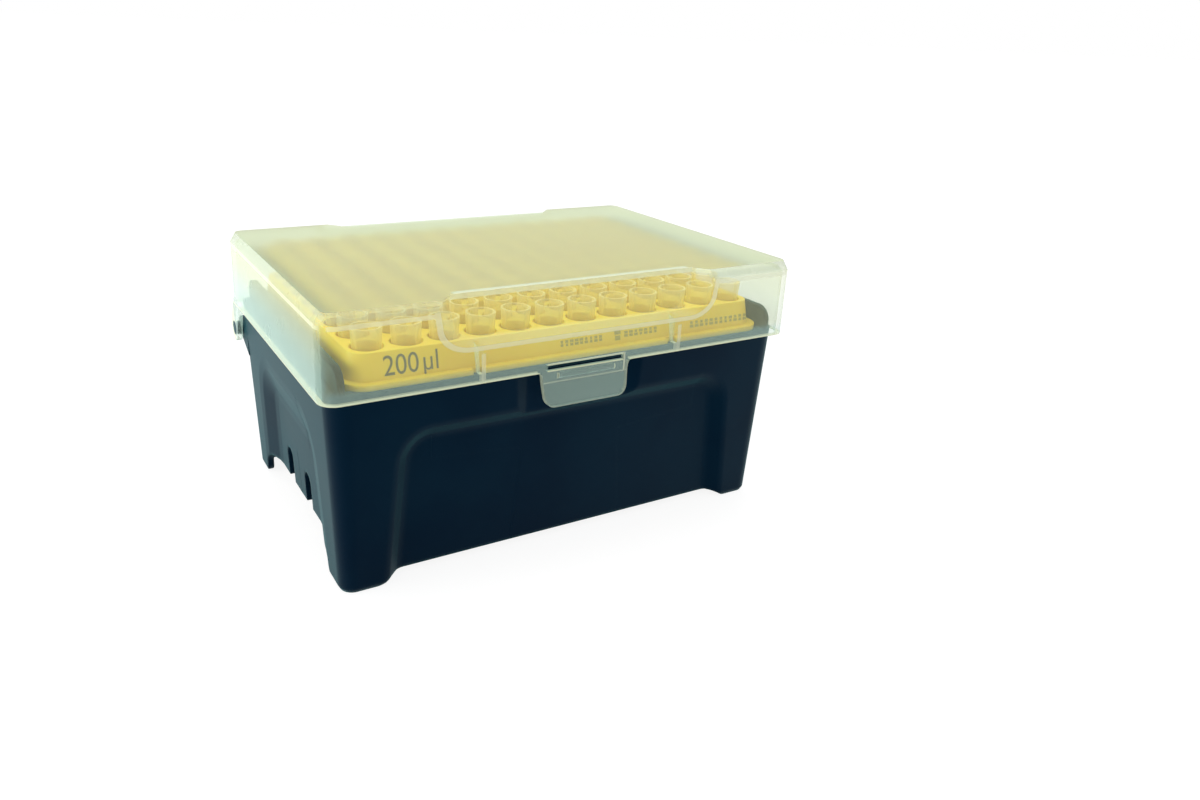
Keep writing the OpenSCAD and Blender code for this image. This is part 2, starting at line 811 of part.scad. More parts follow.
module lid() {
    color([0.85, 0.92, 0.85, 0.35])
        in_frame() difference() {
            union() {
                difference() {
                    cut_panel() {
                        lid_outside();
                        scoop_middles();
                        scoop_sides();
                    }
                    cut_panel() {
                        lid_inside();
                        scoop_middles(grow = lid_wall);
                        scoop_sides(grow = lid_wall);
                    }
                    for (turn = [0, 180])
                        rotate([0, 0, turn])
                            scoop_edge();
                }
                latch_tab();
                for (side = [-1, 1])
                    translate([side * gusset_x, 0, 0])
                        gusset();
                for (side = [0, 1])
                    mirror([side, 0, 0])
                        hinge_lug();
            }
            translate([-tab_width / 2 + window_side, -tab_in - 2 * lid_wall, lid_rim_z + window_strip])
                cube([tab_width - 2 * window_side, 4 * lid_wall, window_height]);
            translate([0, axis_y, axis_z])
                rotate([0, 90, 0])
                    cylinder(h = 3 * lid_half_x, r = pin_d / 2 + pin_play, center = true);
        }
}

base();
rack();
lid();
for (number = [1 : columns])
    tips_column(number);
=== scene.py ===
import logging
import math
from collections.abc import Mapping
from dataclasses import dataclass
from enum import Enum

import bpy
from mathutils import Matrix, Vector


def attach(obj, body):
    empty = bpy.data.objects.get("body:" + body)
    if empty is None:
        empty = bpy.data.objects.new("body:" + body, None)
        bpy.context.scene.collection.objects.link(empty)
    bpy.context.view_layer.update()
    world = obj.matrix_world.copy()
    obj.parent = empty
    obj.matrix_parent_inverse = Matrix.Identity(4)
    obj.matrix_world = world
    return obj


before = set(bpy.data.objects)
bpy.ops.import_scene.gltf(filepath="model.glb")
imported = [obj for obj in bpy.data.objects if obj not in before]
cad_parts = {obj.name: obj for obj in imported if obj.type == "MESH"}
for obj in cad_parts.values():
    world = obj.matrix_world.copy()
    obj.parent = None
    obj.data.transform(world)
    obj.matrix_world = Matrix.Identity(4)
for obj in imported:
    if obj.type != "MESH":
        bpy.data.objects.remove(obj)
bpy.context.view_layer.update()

MM = 0.001
RACK_OFFSET = 1.15  # millimetres from the rack's middle back to the frame's origin
LOG = logging.getLogger("tip_box")

Colour = tuple[float, float, float]
Point = tuple[float, float, float]
Step = tuple[float, float]  # where a smooth step is 0 and where it is 1
Band = tuple[float, float, float]  # a band's start, its end and the softness of its edges
Line = tuple[float, float, float]  # a line's middle, half its width and the softness of its edges
WHITE: Colour = (1.0, 1.0, 1.0)
EDGE_SAMPLES = 4
GRAIN_ROUGHNESS = 0.6


class Shader(Enum):
    """Shader nodes that the finishes use."""

    PRINCIPLED = "ShaderNodeBsdfPrincipled"
    TRANSPARENT = "ShaderNodeBsdfTransparent"
    REFRACTION = "ShaderNodeBsdfRefraction"
    DIFFUSE = "ShaderNodeBsdfDiffuse"
    EMISSION = "ShaderNodeEmission"
    BACKGROUND = "ShaderNodeBackground"
    MIX = "ShaderNodeMixShader"


class Value:
    """A number in a shader, so that shader maths reads as plain expressions."""

    def __init__(self, recipe: "Recipe", socket: bpy.types.NodeSocket) -> None:
        """Wraps a socket.

        Args:
            recipe: the recipe that the socket belongs to.
            socket: the output that holds the number.
        """
        self.recipe = recipe
        self.socket = socket

    def __add__(self, other: "Value | float") -> "Value":
        """Sum."""
        return self.recipe.maths("ADD", self, other)

    def __sub__(self, other: "Value | float") -> "Value":
        """Difference."""
        return self.recipe.maths("SUBTRACT", self, other)

    def __mul__(self, other: "Value | float") -> "Value":
        """Product."""
        return self.recipe.maths("MULTIPLY", self, other)

    def __truediv__(self, other: "Value | float") -> "Value":
        """Quotient."""
        return self.recipe.maths("DIVIDE", self, other)

    def __pow__(self, other: "Value | float") -> "Value":
        """Power."""
        return self.recipe.maths("POWER", self, other)

    def __radd__(self, other: float) -> "Value":
        """Sum with a plain number."""
        return self.recipe.maths("ADD", other, self)

    def __rsub__(self, other: float) -> "Value":
        """Difference from a plain number."""
        return self.recipe.maths("SUBTRACT", other, self)

    def __rmul__(self, other: float) -> "Value":
        """Product with a plain number."""
        return self.recipe.maths("MULTIPLY", other, self)

    def __rtruediv__(self, other: float) -> "Value":
        """A plain number divided by this one."""
        return self.recipe.maths("DIVIDE", other, self)

    def __rpow__(self, other: float) -> "Value":
        """Power of a plain number."""
        return self.recipe.maths("POWER", other, self)

    def __abs__(self) -> "Value":
        """Size without its sign."""
        return self.recipe.maths("ABSOLUTE", self)

    def most(self, other: "Value | float") -> "Value":
        """The larger of two numbers."""
        return self.recipe.maths("MAXIMUM", self, other)

    def rise(self, low: float, high: float) -> "Value":
        """A smooth step.

        Args:
            low: where it is 0.
            high: where it is 1, which may lie below low.

        Returns:
            The step, from 0 to 1.
        """
        settings = {"interpolation_type": "SMOOTHSTEP"}
        flip = low > high
        made = self.recipe.node("ShaderNodeMapRange", settings, {
            "Value": self, "From Min": min(low, high), "From Max": max(low, high),
            "To Min": float(flip), "To Max": float(not flip),
        })
        return Value(self.recipe, made.outputs[0])

    def between(self, low: float, high: float, soft: float) -> "Value":
        """A smooth band.

        Args:
            low: the band's start.
            high: the band's end.
            soft: width of its soft edges.

        Returns:
            1 inside the band and 0 outside it.
        """
        return self.rise(low - soft, low + soft) * self.rise(high + soft, high - soft)

    def near(self, place: float, reach: float, soft: float) -> "Value":
        """A smooth band round one number.

        Args:
            place: the band's middle.
            reach: half its width.
            soft: width of its soft edges.

        Returns:
            1 inside the band and 0 outside it.
        """
        return (self - place).between(-reach, reach, soft)

    def swing(self, width: float) -> "Value":
        """Noise about 0.5 as a swing about 0, which is as wide as it says."""
        return (self - 0.5) * width


class Nodes:
    """A node tree under construction."""

    def __init__(self, tree: bpy.types.NodeTree) -> None:
        """Takes a tree and empties it.

        Args:
            tree: the tree that gets the nodes.
        """
        self.tree = tree
        tree.nodes.clear()

    def node(
        self,
        kind: str,
        settings: Mapping[str, object] | None = None,
        sockets: Mapping[object, object] | None = None,
    ) -> bpy.types.Node:
        """Adds a node.

        Args:
            kind: the node's type.
            settings: properties that are set before its sockets.
            sockets: values or links by the socket's name or place.

        Returns:
            The new node.
        """
        made = self.tree.nodes.new(kind)
        for name, setting in (settings or {}).items():
            setattr(made, name, setting)
        for name, given in (sockets or {}).items():
            if isinstance(given, Value):
                self.tree.links.new(given.socket, made.inputs[name])
            elif isinstance(given, bpy.types.NodeSocket):
                self.tree.links.new(given, made.inputs[name])
            else:
                made.inputs[name].default_value = given
        return made


class Recipe(Nodes):
    """The nodes of a material or of the world."""

    def __init__(self, owner: bpy.types.Material | bpy.types.World) -> None:
        """Starts with no nodes but the output.

        Args:
            owner: the material or the world.
        """
        owner.use_nodes = True
        super().__init__(owner.node_tree)
        self.owner = owner
        world = isinstance(owner, bpy.types.World)
        self.output = self.node("ShaderNodeOutputWorld" if world else "ShaderNodeOutputMaterial")

    @classmethod
    def material(cls, name: str) -> "Recipe":
        """Starts a material of this name."""
        return cls(bpy.data.materials.new(name))

    def maths(self, operation: str, *numbers: Value | float) -> Value:
        """Adds a Math node.

        Args:
            operation: what the node does.
            numbers: its inputs in order.

        Returns:
            The node's result.
        """
        made = self.node("ShaderNodeMath", {"operation": operation}, dict(enumerate(numbers)))
        return Value(self, made.outputs[0])

    def place(self) -> tuple[Value, Value, Value, bpy.types.NodeSocket]:
        """Where the shaded point lies in the frame.

        Returns:
            X, Y and Z in millimetres from the rack's middle, and the plain coordinates.
        """
        where = self.node("ShaderNodeTexCoord").outputs["Object"]
        x, y, z = self.split(where)
        return x / MM, y / MM + RACK_OFFSET, z / MM, where

    def facing(self) -> tuple[Value, Value, Value]:
        """X, Y and Z of the surface's direction on the part at rest."""
        return self.split(self.node("ShaderNodeTexCoord").outputs["Normal"])

    def split(self, vector: bpy.types.NodeSocket) -> tuple[Value, Value, Value]:
        """Splits a vector.

        Args:
            vector: the vector's socket.

        Returns:
            Its X, Y and Z.
        """
        x, y, z = self.node("ShaderNodeSeparateXYZ", None, {0: vector}).outputs
        return Value(self, x), Value(self, y), Value(self, z)

    def lit_rays(self) -> Value:
        """1 for shadow and diffuse rays, which clear plastic lets pass more easily than sight, else 0."""
        return self.rays("Is Shadow Ray", "Is Diffuse Ray")

    def seen_rays(self) -> Value:
        """1 for the rays that see the background, by sight, gloss or through the part, else 0."""
        return self.rays("Is Camera Ray", "Is Glossy Ray", "Is Transmission Ray")

    def rays(self, *kinds: str) -> Value:
        """Tells some kinds of rays from the rest.

        Args:
            kinds: the Light Path outputs.

        Returns:
            1 for a ray of one of the kinds, else 0.
        """
        path = self.node("ShaderNodeLightPath")
        first, *others = (Value(self, path.outputs[kind]) for kind in kinds)
        for other in others:
            first = first.most(other)
        return first

    def noise(
        self, where: bpy.types.NodeSocket, size: float, detail: float = 2.0, rough: float = 0.5
    ) -> Value:
        """Smooth noise.

        Args:
            where: the coordinates it reads.
            size: width of its patches in millimetres.
            detail: octaves of finer noise.
            rough: how strong the finer octaves are.

        Returns:
            The noise, about 0.5 on average.
        """
        sockets = {"Vector": where, "Scale": 1.0 / (size * MM), "Detail": detail, "Roughness": rough}
        return Value(self, self.node("ShaderNodeTexNoise", None, sockets).outputs[0])

    def mix(
        self, factor: Value, low: Colour | bpy.types.NodeSocket, high: Colour | bpy.types.NodeSocket
    ) -> bpy.types.NodeSocket:
        """Mixes two colours.

        Args:
            factor: share of the second colour.
            low: the first colour.
            high: the second colour.

        Returns:
            The mixed colour.
        """
        first, second = ((*end, 1.0) if isinstance(end, tuple) else end for end in (low, high))
        # its colours are sockets 6 and 7, and its mixed colour is output 2
        return self.node("ShaderNodeMix", {"data_type": "RGBA"}, {0: factor, 6: first, 7: second}).outputs[2]

    def grain(
        self, where: bpy.types.NodeSocket, size: float, depth: float, edge: float
    ) -> bpy.types.NodeSocket:
        """A moulded surface's fine grain.

        Args:
            where: the coordinates it reads.
            size: width of its grains in millimetres.
            depth: their depth in millimetres.
            edge: how far sharp edges look rounded, in millimetres.

        Returns:
            The normal.
        """
        soft_edge = self.node("ShaderNodeBevel", {"samples": EDGE_SAMPLES}, {"Radius": edge * MM})
        return self.node("ShaderNodeBump", None, {
            "Height": self.noise(where, size, rough=GRAIN_ROUGHNESS), "Distance": depth * MM, "Strength": 1.0,
            "Normal": soft_edge.outputs[0],
        }).outputs[0]

    def opacity(self, film: Value, flattest: float = 0.16) -> Value:
        """Opacity of one face of a clear wall, which grows where it is seen at a slant.

        Args:
            film: its opacity when it is seen head on.
            flattest: the cosine of the slant past which it grows no more.

        Returns:
            The opacity.
        """
        facing = Value(self, self.node("ShaderNodeLayerWeight", None, {"Blend": 0.5}).outputs["Facing"])
        slant = 1.0 / (1.0 - facing).most(flattest)
        return 1.0 - (1.0 - film) ** slant

    def shader(self, kind: Shader, sockets: Mapping[object, object]) -> bpy.types.NodeSocket:
        """Adds a shader.

        Args:
            kind: which shader.
            sockets: its values or links.

        Returns:
            Its output.
        """
        return self.node(kind.value, None, sockets).outputs[0]

    def blend(
        self, factor: Value, low: bpy.types.NodeSocket, high: bpy.types.NodeSocket
    ) -> bpy.types.NodeSocket:
        """Mixes two shaders.

        Args:
            factor: share of the second shader.
            low: the first shader.
            high: the second shader.

        Returns:
            The mixed shader.
        """
        return self.shader(Shader.MIX, {0: factor, 1: low, 2: high})

    def finish(self, surface: bpy.types.NodeSocket) -> bpy.types.Material | bpy.types.World:
        """Ends the recipe.

        Args:
            surface: what the surface or the world shows.

        Returns:
            The material or the world.
        """
        self.tree.links.new(surface, self.output.inputs["Surface"])
        return self.owner


@dataclass(frozen=True)
class NavyPlastic:
    """Satin navy polypropylene of the base, with lengths in millimetres as in every finish."""

    colour: Colour = (0.0001, 0.0035, 0.0160)
    worn: Colour = (0.0010, 0.0085, 0.0230)
    gloss: Colour = (0.1, 0.55, 0.7)
    velvet: Colour = (0.21, 0.80, 0.82)
    velvet_weight: float = 0.30
    velvet_roughness: float = 0.35
    roughness: float = 0.45
    uneven_roughness: float = 0.08
    low_roughness: float = 0.04  # how much duller it is at the feet
    low: Step = (30.0, 0.0)
    specular: float = 0.1
    cloud_size: float = 30.0
    clouds: Step = (0.3, 0.7)
    grain_size: float = 0.35
    grain_depth: float = 0.012
    edge: float = 1.4

    def build(self) -> bpy.types.Material:
        """Builds the material.

        Returns:
            The finished material.
        """
        recipe = Recipe.material("navy_plastic")
        _, _, z, where = recipe.place()
        clouds = recipe.noise(where, self.cloud_size, detail=3.0)
        low = z.rise(*self.low)
        surface = recipe.shader(Shader.PRINCIPLED, {
            "Base Color": recipe.mix(clouds.rise(*self.clouds), self.colour, self.worn),
            "Roughness": self.roughness + clouds.swing(self.uneven_roughness) + low * self.low_roughness,
            "Specular IOR Level": self.specular,
            "Specular Tint": (*self.gloss, 1.0),
            "Sheen Weight": self.velvet_weight,
            "Sheen Roughness": self.velvet_roughness,
            "Sheen Tint": (*self.velvet, 1.0),
            "Normal": recipe.grain(where, self.grain_size, self.grain_depth, self.edge),
        })
        return recipe.finish(surface)


@dataclass(frozen=True)
class YellowPlastic:
    """Warm yellow polypropylene of the rack."""

    colour: Colour = (0.96, 0.69, 0.04)
    deep: Colour = (0.90, 0.61, 0.025)
    roughness: float = 0.42
    uneven_roughness: float = 0.08
    depth_weight: float = 0.25  # light that goes in and comes out again
    depth_radius: Point = (0.004, 0.002, 0.0006)
    depth_scale: float = 0.6
    cloud_size: float = 22.0
    clouds: Step = (0.35, 0.7)
    grain_size: float = 0.3
    grain_depth: float = 0.008
    edge: float = 0.35

    def build(self) -> bpy.types.Material:
        """Builds the material.

        Returns:
            The finished material.
        """
        recipe = Recipe.material("yellow_plastic")
        *_, where = recipe.place()
        clouds = recipe.noise(where, self.cloud_size, detail=3.0)
        surface = recipe.shader(Shader.PRINCIPLED, {
            "Base Color": recipe.mix(clouds.rise(*self.clouds), self.colour, self.deep),
            "Roughness": self.roughness + clouds.swing(self.uneven_roughness),
            "Subsurface Weight": self.depth_weight,
            "Subsurface Radius": self.depth_radius,
            "Subsurface Scale": self.depth_scale,
            "Normal": recipe.grain(where, self.grain_size, self.grain_depth, self.edge),
        })
        return recipe.finish(surface)


@dataclass(frozen=True)
class TipPlastic:
    """Clear polypropylene of the tips, with a faint warm tint and painted yellow light of the rack round
    them, deepest below the deck.
    """

    # the tips' own faint warm tint, warmed further by painted yellow light of the rack round them
    colour: Colour = (0.98, 0.90, 0.55)
    # painted yellow light of the rack, where the tips stand below the deck
    painted_low_light: Colour = (0.96, 0.76, 0.16)
    # heights at which the painted rack light gives way to the tips' colour above
    rack_light_fade: Step = (56.0, 65.0)
    film: float = 0.20
    uneven_film: float = 0.05
    roughness: float = 0.2
    uneven_roughness: float = 0.1
    streak_size: float = 1.6
    lit_share: float = 0.85  # how much more light passes than sight

    def build(self) -> bpy.types.Material:
        """Builds the material.

        Returns:
            The finished material.
        """
        recipe = Recipe.material("tip_plastic")
        _, _, z, where = recipe.place()
        streaks = recipe.noise(where, self.streak_size)
        opacity = recipe.opacity(self.film + streaks * self.uneven_film)
        surface = recipe.shader(Shader.PRINCIPLED, {
            # painted yellow light of the rack low on the tips, fading into their warmed colour above the deck
            "Base Color": recipe.mix(z.rise(*self.rack_light_fade), self.painted_low_light, self.colour),
            "Roughness": self.roughness + streaks.swing(self.uneven_roughness),
            "Alpha": opacity * (1.0 - recipe.lit_rays() * self.lit_share),
        })
        return recipe.finish(surface)


@dataclass(frozen=True)
class LidEdges:
    """Where the lid's walls, ledges and lines are seen end on and get painted edge light, in millimetres from
    the rack's middle.
    """

    # walls, ledges and gussets
    rim: float = 47.7
    draft: float = 0.02
    front: Step = (41.4, 41.8)
    side: Step = (62.1, 62.5)
    front_corner: Step = (61.7, 61.9)
    side_corner: Step = (41.0, 41.2)
    front_half: Step = (0.0, -1.0)
    below_top: Step = (65.2, 65.0)
    shoulder: Band = (63.7, 64.8, 0.15)
    past_scoop: Step = (0.8, 1.0)
    past_front: Step = (40.0, 39.0)
    rim_top: Step = (48.1, 47.9)
    rim_foot: Step = (47.4, 47.6)
    wall_top: Step = (66.9, 67.0)
    wall_top_deep: Band = (35.4, 37.0, 0.2)
    wall_top_half: Step = (31.8, 31.5)
    gusset: Line = (26.7, 0.55, 0.1)
    gusset_deep: Step = (38.0, 38.4)
    gusset_top: Step = (54.8, 54.5)
    gusset_share: float = 0.8

    # finger scoop
    scoop_half: float = 35.4
    scoop_floor: float = 56.5
    scoop_r: float = 6.0
    scoop_lean: float = 0.2
    scoop_stretch: tuple[float, float] = (1.326, 1.028)  # how much its fillet is drawn out, across and up
    scoop_across: float = 4.62
    scoop_bend: float = 5.2
    scoop_flare: float = 0.266
    scoop_line: Band = (0.05, 1.15, 0.12)

    # latch tab
    at_tab: Step = (12.6, 12.3)
    tab_half: float = 12.0
    tab_taper: float = 0.106
    tab_foot: float = 39.15
    tab_r: float = 3.0
    tab_line: Step = (-0.4, -0.25)
    tab_top: Step = (47.4, 47.2)
    tab_share: float = 0.45
    tab_bend: float = 45.3
    tab_lean: float = 0.18
    tab_face: Step = (-41.4, -41.8)
    tab_side_top: Step = (47.5, 47.2)
    tab_back: Step = (-39.0, -39.5)
    tab_side: Step = (0.6, 0.8)  # how far it faces along the length
    window: Band = (49.35, 49.85, 0.1)
    window_half: Step = (10.6, 10.4)
    sill: Band = (47.75, 48.0, 0.05)
    post: Band = (10.4, 10.9, 0.1)
    post_height: Band = (45.3, 49.8, 0.1)
    bend: Band = (44.95, 45.4, 0.12)
    bend_half: Step = (11.6, 11.4)
    bend_share: float = 0.7
    bead_end: Line = (7.8, 0.2, 0.1)
    bead_height: Band = (45.9, 47.4, 0.1)

    def outside_scoop(self, wide: Value, z: Value) -> Value:
        """How far a point of the front or back wall lies outside the scoop's outline.

        Args:
            wide: distance from the middle along the length.
            z: height.

        Returns:
            The distance in millimetres, measured square to the scoop's fillet.
        """
        stretch_across, stretch_up = self.scoop_stretch
        up = z - self.scoop_floor
        inward = ((self.scoop_half - wide) - up * self.scoop_lean) / stretch_across
        above = up / stretch_up
        flare = (above - self.scoop_bend).most(0.0) * self.scoop_flare
        across = (self.scoop_across - inward - flare).most(0.0)
        down = (self.scoop_r - above).most(0.0)
        return (across * across + down * down) ** 0.5 - self.scoop_r

    def tab_lines(self, x: Value, z: Value) -> Value:
        """The painted highlight lines round the latch tab, its window and its bead.

        Args:
            x: place along the length, from the middle.
            z: height.

        Returns:
            1 on such a line and 0 elsewhere.
        """
        wide = abs(x)
        half = self.tab_half - (self.rim - z).most(0.0) * self.tab_taper
        low_across = (wide - half + self.tab_r).most(0.0)
        low_down = (self.tab_foot + self.tab_r - z).most(0.0)
        corner = (low_across * low_across + low_down * low_down) ** 0.5
        outline = corner.rise(*(self.tab_r + end for end in self.tab_line)) * z.rise(*self.tab_top)
        window = z.between(*self.window) * wide.rise(*self.window_half)
        sill = z.between(*self.sill) * wide.rise(*self.window_half)
        post = x.between(*self.post) * z.between(*self.post_height)
        bend = z.between(*self.bend) * wide.rise(*self.bend_half) * self.bend_share
        bead = wide.near(*self.bead_end) * z.between(*self.bead_height)
        # painted highlights along the tab's outline, window, sill, post, bend and bead
        return (outline * self.tab_share).most(window).most(sill).most(post).most(bend).most(bead)

    def mask(self, x: Value, y: Value, z: Value, normal_x: Value) -> Value:
        """Where a wall or a ledge is seen end on and gets painted edge light.

        Args:
            x: place along the length, from the middle.
            y: place across the width, from the rack's middle.
            z: height.
            normal_x: how far the surface faces along the length.

        Returns:
            1 at such an edge and 0 elsewhere.
        """
        wide, deep = abs(x), abs(y)
        lean = (z - self.rim).most(0.0) * self.draft
        front = (deep + lean).rise(*self.front)
        side = (wide + lean).rise(*self.side)
        front_half = y.rise(*self.front_half)
        below_top = z.rise(*self.below_top)
        scoop = self.outside_scoop(wide, z)
        past_scoop = scoop.rise(*self.past_scoop).most(deep.rise(*self.past_front))
        shoulder = z.between(*self.shoulder) * front.most(side) * past_scoop
        corner = (wide + lean).rise(*self.front_corner) * front * below_top
        side_corner = (deep + lean).rise(*self.side_corner) * side * below_top
        at_tab = wide.rise(*self.at_tab) * front_half
        tab_face = (y + (self.tab_bend - z).most(0.0) * self.tab_lean).rise(*self.tab_face)
        tab_side = abs(normal_x).rise(*self.tab_side) * at_tab * z.rise(*self.tab_side_top)
        gusset = wide.near(*self.gusset) * deep.rise(*self.gusset_deep) * z.rise(*self.gusset_top)
        edges = scoop.between(*self.scoop_line) * front * below_top
        for edge in (
            shoulder,
            corner,
            side_corner,
            z.rise(*self.rim_top) * z.rise(*self.rim_foot) * (1.0 - at_tab),
            self.tab_lines(x, z) * at_tab * tab_face,
            tab_side * y.rise(*self.tab_back),
            z.rise(*self.wall_top) * deep.between(*self.wall_top_deep) * wide.rise(*self.wall_top_half),
            gusset * front_half * self.gusset_share,
        ):
            edges = edges.most(edge)
        return edges


@dataclass(frozen=True)
class MilkyPlastic:
    """Milky polypropylene of the lid: clear walls, a frosted top with painted shade and painted yellow light
    of the rack, painted bluish-green light low on the walls, and edges painted brighter where they are seen
    end on.
    """

    colour: Colour = (0.78, 0.84, 0.56)
    # painted bluish-green light low on the walls: light bent in the rim's solid corner, and on the two ends
    # the dark base showing through
    painted_low_light: Colour = (0.66, 0.90, 0.80)
    # painted light of the edges that are seen end on
    painted_edge_light: Colour = (0.86, 0.90, 0.66)
    # the frosted top's film, darkened by painted shade on the top and its chamfers
    frost_with_painted_shade: Colour = (0.60, 0.68, 0.50)
    clear_tint: Colour = (0.97, 0.985, 0.955)
    # what the frosted top lets through: its dimming, with painted yellow light of the rack scattered in the
    # top
    top_tint_and_rack_glow: Colour = (0.74, 0.765, 0.60)
    film: float = 0.11
    uneven_film: float = 0.02
    side_film: float = 0.10
    chamfer_film: float = 0.30
    # opacity of the painted light low on the front and back walls
    low_film: float = 0.16
    top_film: float = 0.12
    # opacity of the painted edge light
    edge_film: float = 0.46
    end_edges: float = 0.5  # how much weaker the edges are on the two ends
    end_chamfer: float = 0.4
    roughness: float = 0.28
    top_roughness: float = 0.2
    uneven_roughness: float = 0.06
    blur: float = 0.55  # roughness of what is seen through the top
    ior: float = 1.35
    lit_share: float = 0.8  # how much more light passes than sight
    haze_size: float = 9.0
    grain_size: float = 0.4
    grain_depth: float = 0.004
    edge: float = 0.3
    top: Step = (66.0, 67.0)
    chamfer: Step = (64.7, 65.0)
    # heights of the painted light low on the front and back walls, and on the two ends
    low: Step = (51.5, 49.5)
    end_low: Step = (62.0, 52.0)
    facing_end: Step = (0.6, 0.9)
    facing_up: Step = (0.8, 0.95)
    facing_chamfer: Band = (0.4, 0.8, 0.05)
    edges: LidEdges = LidEdges()

    def build(self) -> bpy.types.Material:
        """Builds the material.

        Returns:
            The finished material.
        """
        recipe = Recipe.material("milky_plastic")
        x, y, z, where = recipe.place()
        normal_x, _, normal_z = recipe.facing()
        edges = self.edges.mask(x, y, z, normal_x)
        haze = recipe.noise(where, self.haze_size)
        ends = abs(normal_x).rise(*self.facing_end)
        top = normal_z.rise(*self.facing_up) * z.rise(*self.top)
        chamfer = z.rise(*self.chamfer) * abs(normal_z).between(*self.facing_chamfer)
        low = z.rise(*self.low) * (1.0 - ends)
        film = self.film + ends * (self.side_film - self.film) + haze.swing(self.uneven_film)
        film = film + low * (self.low_film - self.film)
        # painted edge light: the film grows opaque where walls, ledges and the tab's lines are seen end on
        film = film.most(edges * (1.0 - ends * self.end_edges) * self.edge_film)
        # painted edge light on the chamfers round the top, weaker on the two ends
        film = film.most(chamfer * (1.0 - abs(normal_x) * self.end_chamfer) * self.chamfer_film)
        film = film.most(top * self.top_film)
        # painted bluish-green light low on the front and back walls and on the lower ends
        colour = recipe.mix(low.most(ends * z.rise(*self.end_low)), self.colour, self.painted_low_light)
        # painted edge light in the colour
        colour = recipe.mix(edges, colour, self.painted_edge_light)
        body = recipe.shader(Shader.PRINCIPLED, {
            # painted shade: the top and its chamfers take a darker film than the walls of the same plastic
            "Base Color": recipe.mix(top.most(chamfer), colour, self.frost_with_painted_shade),
            "Roughness": self.roughness + top * self.top_roughness + haze.swing(self.uneven_roughness),
            "Normal": recipe.grain(where, self.grain_size, self.grain_depth, self.edge),
        })
        clear = recipe.shader(Shader.TRANSPARENT, {"Color": (*self.clear_tint, 1.0)})
        # the frosted top's blur, tinted with painted yellow light of the rack
        frosted = recipe.shader(Shader.REFRACTION, {
            "Color": (*self.top_tint_and_rack_glow, 1.0), "Roughness": self.blur, "IOR": self.ior,
        })
        lit = recipe.lit_rays()
        through = recipe.blend(top * (1.0 - lit), clear, frosted)
        opacity = recipe.opacity(film) * (1.0 - lit * self.lit_share)
        return recipe.finish(recipe.blend(opacity, through, body))


@dataclass(frozen=True)
class Ink:
    """Matt print."""

    name: str = "grey_ink"
    colour: Colour = (0.10, 0.09, 0.05)
    paler: float = 1.6
    patch_size: float = 0.5
    roughness: float = 0.45
    uneven_roughness: float = 0.1

    def build(self) -> bpy.types.Material:
        """Builds the material.

        Returns:
            The finished material.
        """
        recipe = Recipe.material(self.name)
        *_, where = recipe.place()
        patches = recipe.noise(where, self.patch_size)
        pale = tuple(part * self.paler for part in self.colour)
        surface = recipe.shader(Shader.PRINCIPLED, {
            "Base Color": recipe.mix(patches, self.colour, pale),
            "Roughness": self.roughness + patches.swing(self.uneven_roughness),
        })
        return recipe.finish(surface)


def in_scene(name: str, content: bpy.types.ID) -> bpy.types.Object:
    """Adds an object to the scene.

    Args:
        name: its name.
        content: its mesh, curve, light or camera.

    Returns:
        The object.
    """
    made = bpy.data.objects.new(name, content)
    bpy.context.scene.collection.objects.link(made)
    return made


def plain_mesh(source: bpy.types.Object) -> bpy.types.Mesh:
    """Turns an object into a plain mesh.

    Args:
        source: the object, which is removed.

    Returns:
        The mesh as it is after its modifiers.
    """
    bpy.context.view_layer.update()
    mesh = bpy.data.meshes.new_from_object(source.evaluated_get(bpy.context.evaluated_depsgraph_get()))
    bpy.data.objects.remove(source)
    return mesh


